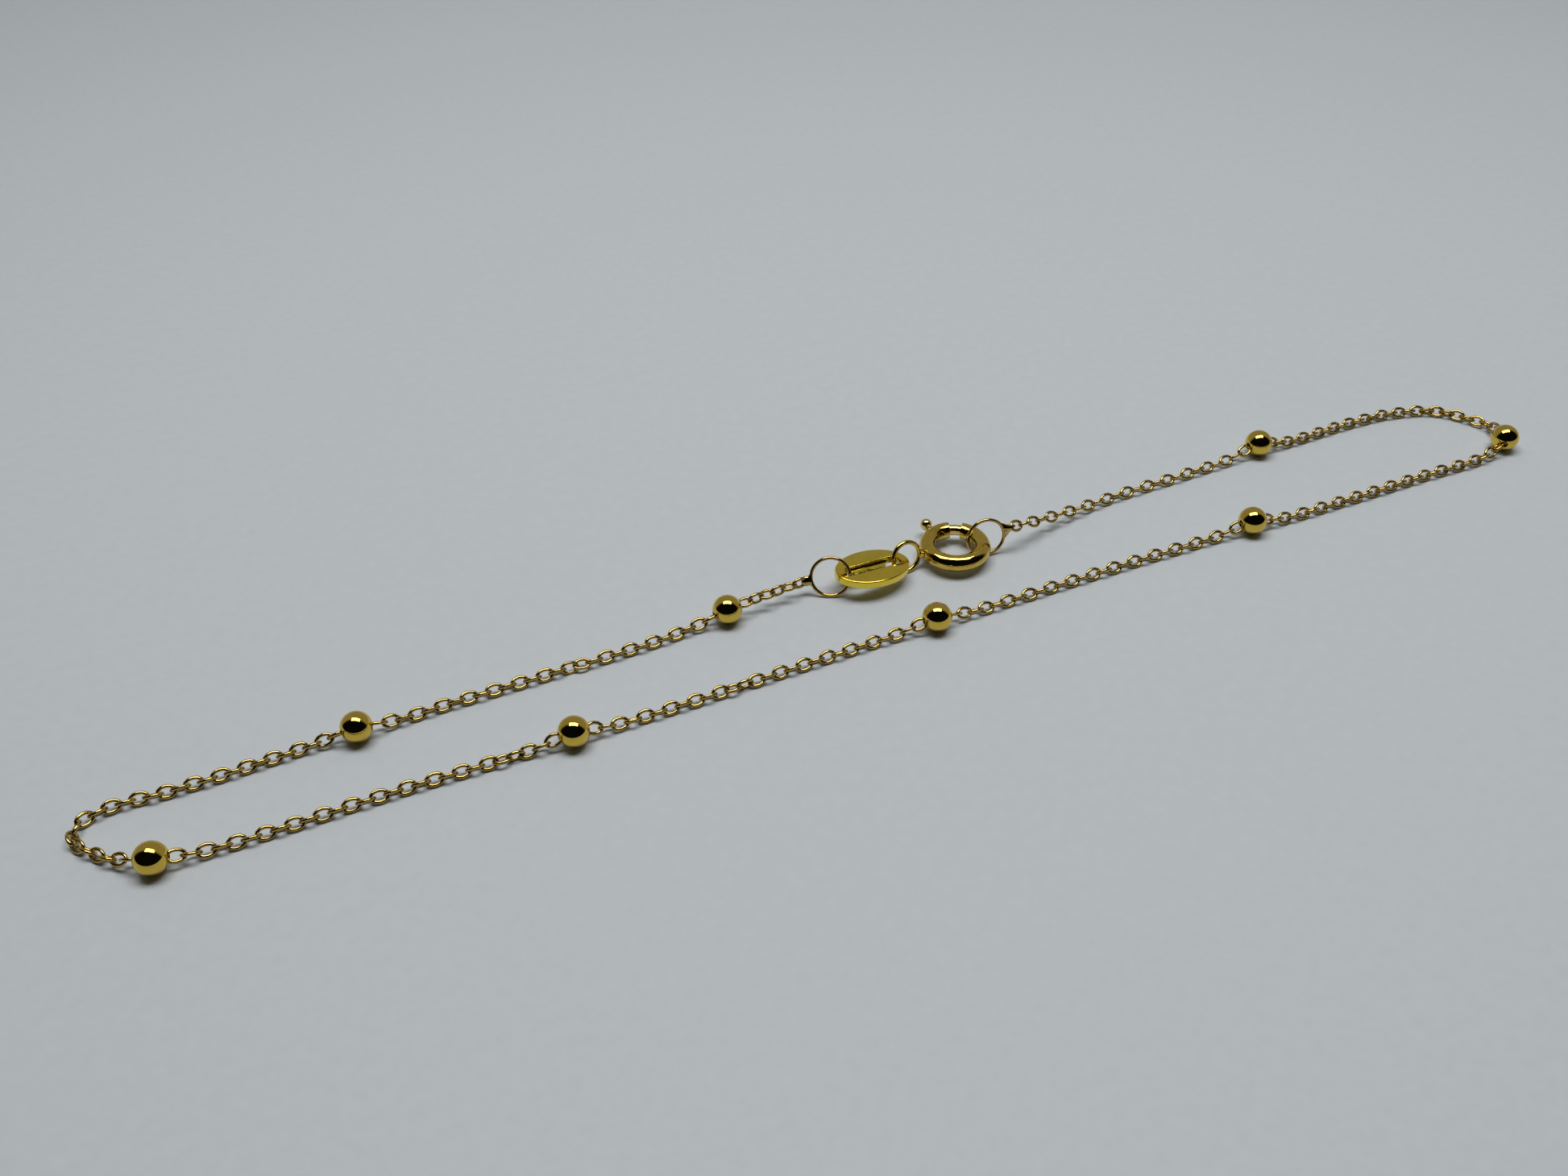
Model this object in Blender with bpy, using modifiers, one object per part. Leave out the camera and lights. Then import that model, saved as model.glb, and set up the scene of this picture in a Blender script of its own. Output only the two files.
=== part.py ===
"""Beaded bracelet of polished yellow metal, fastened and lying on a flat surface.

Metres, +Z up. X runs along the long, narrow loop, Y across it, and the origin lies
on the surface under the middle of the bracelet's box. Eight round beads sit along a
fine cable chain. A spring ring clasp with its own eye, an open oval tag and two jump
rings close the loop.
"""

import math

import bmesh
import bpy
import numpy as np
from mathutils import Matrix, Vector

MM = 0.001
COLLECTION_NAME = "beaded_bracelet"
HELPER_COLLECTION_NAME = "cutters_and_joins"

# Clearances
LOOSE_FIT = 0.06 * MM
RUNNING_FIT = 0.09 * MM
CHAIN_GAP = 0.3 * MM

# Beads, drilled along the chain
BEAD_DIAMETER = 2.0 * MM
BEAD_BORE = 0.5 * MM
BEAD_SIDES = 16
BEAD_ARC_STEPS = 10

# Chain, one slim tube of the links' outer width for each run
CHAIN_WIDTH = 0.84 * MM
CHAIN_STRAIGHT_STEP = 2.6 * MM
CHAIN_BEND_STEP = 1.8 * MM
CHAIN_BEND_TURN = math.radians(60)

# Jump rings of thin round wire, each with a solder fillet to the chain's last link
JUMP_RING_DIAMETER = 2.9 * MM
JUMP_RING_WIRE = 0.24 * MM
LEFT_RING_SLOPE = math.radians(66)
LEFT_RING_TURN = math.radians(-25)
LEFT_RING_ACROSS = -0.13 * MM
LEFT_FILLET_ANGLE = math.radians(190)
LEFT_FILLET_LENGTH = 0.4 * MM
RIGHT_RING_SLOPE = math.radians(79)
RIGHT_RING_TURN = math.radians(-10)
RIGHT_RING_DIRECTION = math.radians(-13)
RIGHT_FILLET_ANGLE = math.radians(14)
RIGHT_FILLET_LENGTH = 0.58 * MM
FILLET_SPREAD = 0.95 * MM
FILLET_THICKNESS = 0.36 * MM
FILLET_TIP = 0.3 * MM

# Spring ring clasp: a hollow ring with a gap, a slot for the knob and a soldered eye
CLASP_PLACE = (6.5 * MM, 1.93 * MM)
CLASP_DIAMETER = 5.0 * MM
CLASP_TUBE = 1.16 * MM
CLASP_WALL = 0.12 * MM
GAP_START = math.radians(47)
GAP_END = math.radians(74.5)
CLASP_LIFT = 0.16 * MM
EYE_DIAMETER = 2.42 * MM
EYE_WIRE = 0.32 * MM
EYE_SLOPE = math.radians(74)
EYE_TURN = math.radians(6)
EYE_DIRECTION = math.radians(177)
EYE_STAND_OFF = 0.05 * MM
EYE_JOIN_ANGLE = math.radians(-8)
EYE_ACROSS = 0.12 * MM
TAB_WIDTH = 0.55 * MM
TAB_HEIGHT = 0.5 * MM
TAB_BITE = 0.3 * MM

# Sliding bolt of the clasp with its thumb knob
BOLT_LAP = math.radians(6)
BOLT_TAIL_ANGLE = math.radians(162)
KNOB_ANGLE = math.radians(101)
KNOB_TRAVEL = math.radians(35)
KNOB_REACH = 3.16 * MM
KNOB_DIAMETER = 0.85 * MM
STEM_DIAMETER = 0.3 * MM

# Open oval tag
TAG_LENGTH = 5.4 * MM
TAG_WIDTH = 3.55 * MM
TAG_THICKNESS = 0.56 * MM
TAG_SLOT_WIDTH = 0.86 * MM
TAG_SLOT_CORNER = 0.2 * MM
TAG_SLOT_WAVE = 0.1 * MM
TAG_END_LEFT = 0.68 * MM
TAG_END_RIGHT = 0.63 * MM
TAG_EDGE = 0.06 * MM
TAG_HEADING = math.radians(-1)
TAG_TILT = math.radians(4)
TAG_HEIGHT = 1.14 * MM

# How finely the round shapes are cut
CLASP_SIDES = 60
CLASP_TUBE_SIDES = 14
CLASP_BORE_SIDES = 12
SECTOR_STEP = math.radians(6)
BOLT_ARC_STEP = math.radians(5)
EYE_SIDES = 26
JUMP_RING_SIDES = 32
WIRE_SIDES = 8
FILLET_SIDES = 12
STEM_SIDES = 10
KNOB_SIDES = 16
KNOB_RINGS = 10
TAG_SIDES = 44
TAG_SLOT_STEPS = 12
TAG_SLOT_CORNER_STEPS = 4
CURVE_RESOLUTION = 2
WELD_DISTANCE = 0.001 * MM
SHARP_ANGLE = math.radians(35)
EASED_ANGLE = math.radians(50)

# The chain's route from the left jump ring, round the loop, to the right jump ring.
# Each row: what lies there, place along X and across Y, and how far the chain is
# lifted above lying on the surface, all lengths in millimetres.
CHAIN_ROUTE = (
    ("bead", -10.57, 2.31, 0.0),
    ("chain", -13.0, 2.2, 0.08),
    ("chain", -16.6, 1.95, 0.0),
    ("chain", -23.0, 1.9, 0.0),
    ("chain", -29.6, 1.9, 0.0),
    ("chain", -32.9, 1.75, 0.08),
    ("bead", -35.37, 1.62, 0.0),
    ("chain", -37.8, 1.8, 0.08),
    ("chain", -41.8, 1.65, 0.0),
    ("chain", -46.6, 1.55, 0.0),
    ("chain", -49.8, 1.7, 0.0),
    ("chain", -51.6, 1.05, 0.0),
    ("chain", -52.0, -0.2, 0.0),
    ("chain", -51.2, -1.4, 0.0),
    ("chain", -50.1, -2.6, 0.12),
    ("bead", -47.98, -3.99, 0.0),
    ("chain", -45.4, -4.15, 0.08),
    ("chain", -41.2, -4.2, 0.0),
    ("chain", -35.4, -4.1, 0.0),
    ("chain", -29.4, -4.2, 0.0),
    ("chain", -25.9, -4.3, 0.08),
    ("bead", -23.43, -4.39, 0.0),
    ("chain", -20.9, -4.35, 0.08),
    ("chain", -15.4, -4.35, 0.0),
    ("chain", -8.0, -4.2, 0.0),
    ("chain", -0.9, -4.15, 0.08),
    ("bead", 1.69, -4.27, 0.0),
    ("chain", 4.3, -4.2, 0.08),
    ("chain", 10.4, -4.2, 0.0),
    ("chain", 17.6, -4.2, 0.0),
    ("chain", 24.5, -4.35, 0.08),
    ("bead", 27.09, -4.46, 0.0),
    ("chain", 29.7, -4.6, 0.08),
    ("chain", 36.4, -4.7, 0.0),
    ("chain", 43.2, -4.7, 0.0),
    ("chain", 48.6, -4.75, 0.1),
    ("bead", 51.08, -4.01, 0.0),
    ("chain", 51.9, -1.6, 0.12),
    ("chain", 51.3, -0.1, 0.0),
    ("chain", 50.2, 1.4, 0.0),
    ("chain", 48.7, 2.35, 0.0),
    ("chain", 46.1, 3.05, 0.0),
    ("chain", 42.8, 3.3, 0.0),
    ("chain", 36.3, 3.2, 0.08),
    ("bead", 33.73, 3.36, 0.0),
    ("chain", 31.1, 3.15, 0.08),
    ("chain", 27.0, 3.0, 0.0),
    ("chain", 20.2, 2.85, 0.0),
    ("chain", 16.8, 2.42, 0.24),
    ("chain", 13.6, 1.85, 0.75),
)
ROUTE_STEPS = 24


def clear_scene():
    for obj in list(bpy.data.objects):
        bpy.data.objects.remove(obj, do_unlink=True)


def new_collection(name):
    collection = bpy.data.collections.new(name)
    bpy.context.scene.collection.children.link(collection)
    return collection


def new_metal(name, colour, roughness):
    """A polished metal with its own colour and roughness."""
    metal = bpy.data.materials.new(name)
    metal.use_nodes = True
    shader = metal.node_tree.nodes["Principled BSDF"]
    shader.inputs["Base Color"].default_value = (*colour, 1.0)
    shader.inputs["Roughness"].default_value = roughness
    shader.inputs["Metallic"].default_value = 1.0
    metal.diffuse_color = (*colour, 1.0)
    return metal


def place_in(obj, collection, name):
    """Names a new object and keeps it in one collection only."""
    obj.name = name
    for other in list(obj.users_collection):
        other.objects.unlink(obj)
    collection.objects.link(obj)
    return obj


def hide_helper(obj):
    obj.hide_render = True
    obj.display_type = "WIRE"
    return obj


def finish_part(obj, metal):
    obj.data.materials.clear()
    obj.data.materials.append(metal)
    if obj.type == "MESH":
        obj.data.shade_smooth()
        obj.data.set_sharp_from_angle(angle=SHARP_ANGLE)
    return obj


def add_boolean(obj, tool, operation):
    modifier = obj.modifiers.new(operation.lower() + "_" + tool.name, "BOOLEAN")
    modifier.operation = operation
    modifier.solver = "EXACT"
    modifier.object = tool


def direction(angle):
    return Vector((math.cos(angle), math.sin(angle), 0.0))


def curve_of(name, places, thickness, collection):
    """A round wire through the places, with closed ends."""
    data = bpy.data.curves.new(name, "CURVE")
    data.dimensions = "3D"
    data.bevel_depth = thickness / 2
    data.bevel_resolution = CURVE_RESOLUTION
    data.use_fill_caps = True
    spline = data.splines.new("POLY")
    spline.points.add(len(places) - 1)
    for point, place in zip(spline.points, places):
        point.co = (*place, 1.0)
    obj = bpy.data.objects.new(name, data)
    collection.objects.link(obj)
    return obj


def mesh_from_curve(curve, collection):
    """The curve's shape as a mesh with its caps welded, ready to be cut or joined."""
    bpy.context.view_layer.update()
    graph = bpy.context.evaluated_depsgraph_get()
    mesh = bpy.data.meshes.new_from_object(curve.evaluated_get(graph))
    work = bmesh.new()
    work.from_mesh(mesh)
    bmesh.ops.remove_doubles(work, verts=work.verts, dist=WELD_DISTANCE)
    bmesh.ops.recalc_face_normals(work, faces=work.faces)
    work.to_mesh(mesh)
    work.free()
    name = curve.name
    matrix = curve.matrix_world.copy()
    bpy.data.objects.remove(curve, do_unlink=True)
    obj = bpy.data.objects.new(name, mesh)
    obj.matrix_world = matrix
    collection.objects.link(obj)
    return obj


def plate_of(name, outlines, thickness, matrix, collection):
    """A flat plate: the first outline is its edge, and the others are holes in it."""
    data = bpy.data.curves.new(name, "CURVE")
    data.dimensions = "2D"
    data.fill_mode = "BOTH"
    data.extrude = thickness / 2
    for outline in outlines:
        spline = data.splines.new("POLY")
        spline.points.add(len(outline) - 1)
        for point, place in zip(spline.points, outline):
            point.co = (*place, 0.0, 1.0)
        spline.use_cyclic_u = True
    curve = bpy.data.objects.new(name, data)
    curve.matrix_world = matrix
    collection.objects.link(curve)
    return mesh_from_curve(curve, collection)


def torus_of(name, diameter, wire, sides, wire_sides, matrix, collection):
    """A wire ring of the given outer diameter, lying in the matrix's XY plane."""
    bpy.ops.mesh.primitive_torus_add(
        major_radius=(diameter - wire) / 2,
        minor_radius=wire / 2,
        major_segments=sides,
        minor_segments=wire_sides,
    )
    obj = place_in(bpy.context.object, collection, name)
    obj.matrix_world = matrix
    return obj


def sector(inner, outer, start, end):
    """The outline of a ring sector between two angles, or of a wedge if inner is 0."""
    steps = max(2, math.ceil((end - start) / SECTOR_STEP))
    angles = [start + (end - start) * k / steps for k in range(steps + 1)]
    outline = [(outer * math.cos(a), outer * math.sin(a)) for a in angles]
    if inner == 0:
        return outline + [(0.0, 0.0)]
    return outline + [(inner * math.cos(a), inner * math.sin(a)) for a in reversed(angles)]


def ring_matrix(centre, turn, slope):
    """A ring's plane: level along the turn's direction, rising at the slope across it."""
    along = direction(turn)
    rising = Matrix.Rotation(slope, 3, along) @ direction(turn + math.pi / 2)
    facing = along.cross(rising)
    columns = Matrix((along, rising, facing)).transposed().to_4x4()
    return Matrix.Translation(centre) @ columns


def resting_height(diameter, wire, slope):
    """The height of a sloping ring's centre when its lowest point touches the surface."""
    return wire / 2 + (diameter - wire) / 2 * math.sin(slope)


def rise_to(height, centre_height, slope):
    """How far up its own slope a ring's wire reaches the given height."""
    return (height - centre_height) / math.sin(slope)


def wire_point(radius, up, side):
    """A place on a ring's wire, in the ring's plane: that far up its slope, on one side."""
    return Vector((side * math.sqrt(radius**2 - up**2), up, 0.0))


def slot_inset(ring, slope, radius, wire, up, side, tag_turn):
    """How far from the end of the tag's slot a ring's sloping wire must lie.

    The wire keeps clear of the slot's end through the whole thickness of the tag.
    """
    clear = max(TAG_SLOT_CORNER, wire / 2 / math.sin(slope) + LOOSE_FIT)
    middle = wire_point(radius, up, side)
    leans = []
    for face in (-1, 0, 1):
        rise = up + face * TAG_THICKNESS / 2 / math.sin(slope)
        lean = ring.to_3x3() @ (wire_point(radius, rise, side) - middle)
        leans.append(-side * (tag_turn.to_3x3().inverted() @ lean).x)
    return clear + max(leans)


class Layout:
    """Where the clasp, its eye, the tag and the two jump rings lie, each from its neighbour."""

    def __init__(self):
        self.clasp_radius = (CLASP_DIAMETER - CLASP_TUBE) / 2
        clasp_height = JUMP_RING_WIRE + CLASP_LIFT + CLASP_TUBE / 2
        self.clasp = Vector((*CLASP_PLACE, clasp_height))
        self.clasp_matrix = Matrix.Translation(self.clasp)
        self.place_eye()
        self.place_tag()
        self.place_left_ring()
        self.place_right_ring()

    def place_eye(self):
        """The eye stands just off the clasp's side, and the soldered tab joins them."""
        radius = (EYE_DIAMETER - EYE_WIRE) / 2
        height = resting_height(EYE_DIAMETER, EYE_WIRE, EYE_SLOPE)
        join = ring_matrix(Vector(), EYE_TURN, EYE_SLOPE) @ (radius * direction(EYE_JOIN_ANGLE))
        reach = CLASP_DIAMETER / 2 + EYE_WIRE / 2 + EYE_STAND_OFF
        away = direction(EYE_DIRECTION)
        flat_join = Vector((join.x, join.y, 0.0))
        along = flat_join.dot(away)
        side = (flat_join - along * away).length
        distance = math.sqrt(reach**2 - side**2) - along
        self.eye = Vector((self.clasp.x, self.clasp.y, height)) + distance * away
        self.eye_matrix = ring_matrix(self.eye, EYE_TURN, EYE_SLOPE)
        self.join = self.eye + join

    def place_tag(self):
        """The eye's wire runs down through the right end of the tag's slot."""
        radius = (EYE_DIAMETER - EYE_WIRE) / 2
        up = rise_to(TAG_HEIGHT, self.eye.z, EYE_SLOPE)
        seat = self.eye_matrix @ wire_point(radius, up, -1)
        turn = Matrix.Rotation(TAG_HEADING, 4, "Z") @ Matrix.Rotation(TAG_TILT, 4, "Y")
        inset = slot_inset(self.eye_matrix, EYE_SLOPE, radius, EYE_WIRE, up, -1, turn)
        reach = TAG_LENGTH / 2 - TAG_END_RIGHT - inset
        centre = seat - turn @ Vector((reach, TAG_SLOT_WAVE + EYE_ACROSS, 0.0))
        self.tag_matrix = Matrix.Translation(centre) @ turn

    def place_left_ring(self):
        """The left jump ring's wire runs down through the left end of the tag's slot."""
        radius = (JUMP_RING_DIAMETER - JUMP_RING_WIRE) / 2
        turn = self.tag_matrix.to_3x3().to_4x4()
        lean = ring_matrix(Vector(), LEFT_RING_TURN, LEFT_RING_SLOPE)
        height = resting_height(JUMP_RING_DIAMETER, JUMP_RING_WIRE, LEFT_RING_SLOPE)
        end = TAG_LENGTH / 2 - TAG_END_LEFT
        slot_end = self.tag_matrix @ Vector((-end, 0.0, 0.0))
        up = rise_to(slot_end.z, height, LEFT_RING_SLOPE)
        inset = slot_inset(lean, LEFT_RING_SLOPE, radius, JUMP_RING_WIRE, up, 1, turn)
        across = LEFT_RING_ACROSS - TAG_SLOT_WAVE
        seat = self.tag_matrix @ Vector((inset - end, across, 0.0))
        centre = seat - lean @ wire_point(radius, up, 1)
        centre.z = height
        self.left_ring_matrix = ring_matrix(centre, LEFT_RING_TURN, LEFT_RING_SLOPE)

    def place_right_ring(self):
        """The right jump ring stands round the clasp's tube, against its inner side."""
        room = JUMP_RING_DIAMETER / 2 - JUMP_RING_WIRE - CLASP_TUBE / 2 - RUNNING_FIT
        height = resting_height(JUMP_RING_DIAMETER, JUMP_RING_WIRE, RIGHT_RING_SLOPE)
        outward = math.sqrt(max(0.0, room**2 - (height - self.clasp.z) ** 2))
        centre = self.clasp + (self.clasp_radius + outward) * direction(RIGHT_RING_DIRECTION)
        centre.z = height
        self.right_ring_matrix = ring_matrix(centre, RIGHT_RING_TURN, RIGHT_RING_SLOPE)


def fillet_end(matrix, angle, length):
    """The outer tip of a jump ring's solder fillet."""
    return matrix @ ((JUMP_RING_DIAMETER / 2 + length) * direction(angle))


def smooth_curve(points):
    """Centripetal Catmull-Rom curve through the points, as closely spaced places."""
    points = np.array(points)
    ends = (2 * points[0] - points[1], 2 * points[-1] - points[-2])
    padded = np.vstack((ends[0], points, ends[1]))
    places = [points[0]]
    for k in range(len(points) - 1):
        a, b, c, d = padded[k : k + 4]
        ab = np.linalg.norm(b - a) ** 0.5
        bc = np.linalg.norm(c - b) ** 0.5
        cd = np.linalg.norm(d - c) ** 0.5
        leave = (b - a) / ab - (c - a) / (ab + bc) + (c - b) / bc
        arrive = (c - b) / bc - (d - b) / (bc + cd) + (d - c) / cd
        for step in range(1, ROUTE_STEPS + 1):
            t = step / ROUTE_STEPS
            places.append(
                (2 * t**3 - 3 * t**2 + 1) * b
                + (t**3 - 2 * t**2 + t) * bc * leave
                + (3 * t**2 - 2 * t**3) * c
                + (t**3 - t**2) * bc * arrive
            )
    return np.array(places)


class Chain:
    """The chain's smooth line, with each bead's distance along it."""

    def __init__(self, start, end):
        points = [tuple(start)]
        bead_rows = []
        for kind, along, across, lift in CHAIN_ROUTE:
            resting = BEAD_DIAMETER / 2 if kind == "bead" else CHAIN_WIDTH / 2
            if kind == "bead":
                bead_rows.append(len(points))
            points.append((along * MM, across * MM, resting + lift * MM))
        points.append(tuple(end))
        self.line = smooth_curve(points)
        self.line[:, 2] = np.maximum(self.line[:, 2], CHAIN_WIDTH / 2)
        lengths = np.linalg.norm(np.diff(self.line, axis=0), axis=1)
        self.distance = np.concatenate(((0.0,), np.cumsum(lengths)))
        self.length = self.distance[-1]
        self.beads = [self.distance[row * ROUTE_STEPS] for row in bead_rows]

    def at(self, distance):
        return Vector([np.interp(distance, self.distance, self.line[:, k]) for k in range(3)])

    def heading(self, distance):
        reach = CHAIN_WIDTH
        return (self.at(distance + reach) - self.at(distance - reach)).normalized()

    def turning(self, start, end):
        """The angle between the chain's headings at two distances."""
        return self.heading(start).angle(self.heading(end))

    def runs(self):
        """The stretches of chain between the rings' fillets and the beads, with their gaps."""
        clear = BEAD_DIAMETER / 2 + CHAIN_GAP
        starts = [CHAIN_GAP] + [bead + clear for bead in self.beads]
        ends = [bead - clear for bead in self.beads] + [self.length - CHAIN_GAP]
        return list(zip(starts, ends))


def make_bead(name, place, heading, metal, collection):
    """A drilled ball: the profile runs down its outer side and back up its bore."""
    radius = BEAD_DIAMETER / 2
    bore = BEAD_BORE / 2
    mouth = math.acos(bore / radius)
    profile = bmesh.new()
    ring = []
    for k in range(BEAD_ARC_STEPS + 1):
        angle = mouth - 2 * mouth * k / BEAD_ARC_STEPS
        ring.append(profile.verts.new((radius * math.cos(angle), 0.0, radius * math.sin(angle))))
    for first, second in zip(ring, ring[1:] + ring[:1]):
        profile.edges.new((first, second))
    mesh = bpy.data.meshes.new(name)
    profile.to_mesh(mesh)
    profile.free()
    obj = bpy.data.objects.new(name, mesh)
    collection.objects.link(obj)
    turn = obj.modifiers.new("turned", "SCREW")
    turn.steps = BEAD_SIDES
    turn.render_steps = BEAD_SIDES
    turn.use_smooth_shade = True
    turn.merge_threshold = 0.0001
    obj.location = place
    obj.rotation_euler = heading.to_track_quat("Z", "Y").to_euler()
    obj.data.materials.append(metal)
    return obj


def make_chain_run(name, chain, start, end, metal, collection):
    """One run of chain as a slim tube, with closer points where it bends sharply."""
    bends = chain.turning(start, end) > CHAIN_BEND_TURN
    step = CHAIN_BEND_STEP if bends else CHAIN_STRAIGHT_STEP
    pieces = max(1, math.ceil((end - start) / step))
    places = [chain.at(start + (end - start) * k / pieces) for k in range(pieces + 1)]
    tube = curve_of(name, places, CHAIN_WIDTH, collection)
    return finish_part(tube, metal)


def make_tab(layout, helpers):
    """The flat solder tab between the clasp's side and its eye."""
    outward = layout.join - layout.clasp
    outward.z = 0.0
    outward.normalize()
    inner = layout.clasp + (CLASP_DIAMETER / 2 - TAB_BITE) * outward
    middle = (inner + layout.join) / 2
    bpy.ops.mesh.primitive_cube_add(size=1.0)
    tab = place_in(bpy.context.object, helpers, "join_tab")
    length = (layout.join - inner).length
    size = Matrix.Diagonal((length, TAB_WIDTH, TAB_HEIGHT, 1.0))
    tab.data.transform(size)
    turn = (layout.join - inner).to_track_quat("X", "Z").to_matrix().to_4x4()
    tab.matrix_world = Matrix.Translation(middle) @ turn
    return hide_helper(tab)


def make_clasp_ring(layout, metal, collection, helpers):
    """The hollow ring with its gap and knob slot, and the soldered eye."""
    flat = layout.clasp_matrix
    outer = (CLASP_DIAMETER, CLASP_TUBE, CLASP_SIDES, CLASP_TUBE_SIDES)
    ring = torus_of("clasp_ring", *outer, flat, collection)
    wire = (EYE_DIAMETER, EYE_WIRE, EYE_SIDES, WIRE_SIDES)
    eye = torus_of("join_eye", *wire, layout.eye_matrix, helpers)
    add_boolean(ring, hide_helper(eye), "UNION")
    add_boolean(ring, make_tab(layout, helpers), "UNION")

    walls = 2 * CLASP_WALL
    inside = (CLASP_DIAMETER - walls, CLASP_TUBE - walls, CLASP_SIDES, CLASP_BORE_SIDES)
    bore = torus_of("cut_bore", *inside, flat, helpers)
    add_boolean(ring, hide_helper(bore), "DIFFERENCE")

    wedge = sector(0, CLASP_DIAMETER, GAP_START, GAP_END)
    gap = plate_of("cut_gap", [wedge], 2 * CLASP_TUBE, flat, helpers)
    add_boolean(ring, hide_helper(gap), "DIFFERENCE")

    inner = layout.clasp_radius + CLASP_TUBE / 4
    spare = (STEM_DIAMETER / 2 + RUNNING_FIT) / (CLASP_DIAMETER / 2)
    stretch = sector(inner, CLASP_DIAMETER, KNOB_ANGLE - spare, KNOB_ANGLE + KNOB_TRAVEL + spare)
    slot_height = STEM_DIAMETER + 2 * RUNNING_FIT
    slot = plate_of("cut_knob_slot", [stretch], slot_height, flat, helpers)
    add_boolean(ring, hide_helper(slot), "DIFFERENCE")
    return finish_part(ring, metal)


def make_clasp_bolt(layout, metal, collection, helpers):
    """The curved bolt in the hollow ring, its stem and its ball knob, turning about the ring's axis."""
    hinge = bpy.data.objects.new("clasp_hinge", None)
    hinge.location = layout.clasp
    collection.objects.link(hinge)

    start = GAP_START - BOLT_LAP
    pieces = math.ceil((BOLT_TAIL_ANGLE - start) / BOLT_ARC_STEP)
    angles = [start + (BOLT_TAIL_ANGLE - start) * k / pieces for k in range(pieces + 1)]
    places = [layout.clasp_radius * direction(a) for a in angles]
    thickness = CLASP_TUBE - 2 * CLASP_WALL - 2 * RUNNING_FIT
    rod = curve_of("clasp_bolt", places, thickness, collection)
    bolt = mesh_from_curve(rod, collection)

    length = KNOB_REACH - layout.clasp_radius
    bpy.ops.mesh.primitive_cylinder_add(
        vertices=STEM_SIDES, radius=STEM_DIAMETER / 2, depth=length
    )
    stem = place_in(bpy.context.object, helpers, "join_stem")
    outward = direction(KNOB_ANGLE)
    stem.matrix_world = (
        Matrix.Translation((layout.clasp_radius + length / 2) * outward)
        @ outward.to_track_quat("Z", "Y").to_matrix().to_4x4()
    )
    bpy.ops.mesh.primitive_uv_sphere_add(
        segments=KNOB_SIDES, ring_count=KNOB_RINGS, radius=KNOB_DIAMETER / 2
    )
    ball = place_in(bpy.context.object, helpers, "join_knob")
    ball.location = KNOB_REACH * outward
    for helper in (stem, ball):
        hide_helper(helper)
        helper.parent = hinge
        add_boolean(bolt, helper, "UNION")
    bolt.parent = hinge
    return finish_part(bolt, metal)


def tag_outline():
    """The tag's plain oval edge."""
    angles = [2 * math.pi * k / TAG_SIDES for k in range(TAG_SIDES)]
    return [(TAG_LENGTH / 2 * math.cos(a), TAG_WIDTH / 2 * math.sin(a)) for a in angles]


def tag_slot_end(along, middle, side):
    """The slot's square end, from one long side to the other round its two eased corners."""
    reach = TAG_SLOT_WIDTH / 2 - TAG_SLOT_CORNER
    step = math.pi / 2 / TAG_SLOT_CORNER_STEPS
    turns = [step * k for k in range(1, TAG_SLOT_CORNER_STEPS + 1)]
    outline = []
    for edge, corner_turns in ((side, turns), (-side, turns[::-1])):
        for turn in corner_turns:
            across = middle + edge * (reach + TAG_SLOT_CORNER * math.cos(turn))
            outline.append((along + side * TAG_SLOT_CORNER * math.sin(turn), across))
    return outline


def tag_slot_outline():
    """The slot's middle line waves from one side of the tag to the other."""
    half = TAG_SLOT_WIDTH / 2
    left = TAG_END_LEFT + TAG_SLOT_CORNER - TAG_LENGTH / 2
    right = TAG_LENGTH / 2 - TAG_END_RIGHT - TAG_SLOT_CORNER
    far_side = []
    near_side = []
    for k in range(TAG_SLOT_STEPS + 1):
        share = k / TAG_SLOT_STEPS
        along = left + (right - left) * share
        middle = TAG_SLOT_WAVE * math.sin(math.pi * (share - 0.5))
        far_side.append((along, middle + half))
        near_side.append((along, middle - half))
    right_end = tag_slot_end(right, TAG_SLOT_WAVE, 1)
    left_end = tag_slot_end(left, -TAG_SLOT_WAVE, -1)
    return far_side + right_end + near_side[::-1] + left_end


def make_tag(layout, metal, collection):
    outlines = [tag_outline(), tag_slot_outline()]
    tag = plate_of("tag", outlines, TAG_THICKNESS, layout.tag_matrix, collection)
    edge = tag.modifiers.new("eased_edges", "BEVEL")
    edge.width = TAG_EDGE
    edge.segments = 1
    edge.limit_method = "ANGLE"
    edge.angle_limit = EASED_ANGLE
    return finish_part(tag, metal)


def make_jump_ring(name, matrix, fillet_angle, fillet_length, metal, collection, helpers):
    """A closed wire ring and the flat solder fillet that ties it to the chain."""
    wire = (JUMP_RING_DIAMETER, JUMP_RING_WIRE, JUMP_RING_SIDES, WIRE_SIDES)
    ring = torus_of(name, *wire, matrix, collection)
    root = (JUMP_RING_DIAMETER - JUMP_RING_WIRE) / 2 - JUMP_RING_WIRE / 4
    length = JUMP_RING_DIAMETER / 2 + fillet_length - root
    bpy.ops.mesh.primitive_cone_add(
        vertices=FILLET_SIDES, radius1=FILLET_SPREAD / 2, radius2=FILLET_TIP / 2, depth=length
    )
    fillet = place_in(bpy.context.object, helpers, "join_fillet_" + name)
    fillet.data.transform(Matrix.Diagonal((1.0, FILLET_THICKNESS / FILLET_SPREAD, 1.0, 1.0)))
    outward = direction(fillet_angle)
    across = Vector((0.0, 0.0, 1.0))
    columns = Matrix((across.cross(outward), across, outward)).transposed().to_4x4()
    fillet.matrix_world = matrix @ Matrix.Translation((root + length / 2) * outward) @ columns
    add_boolean(ring, hide_helper(fillet), "UNION")
    return finish_part(ring, metal)


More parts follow.
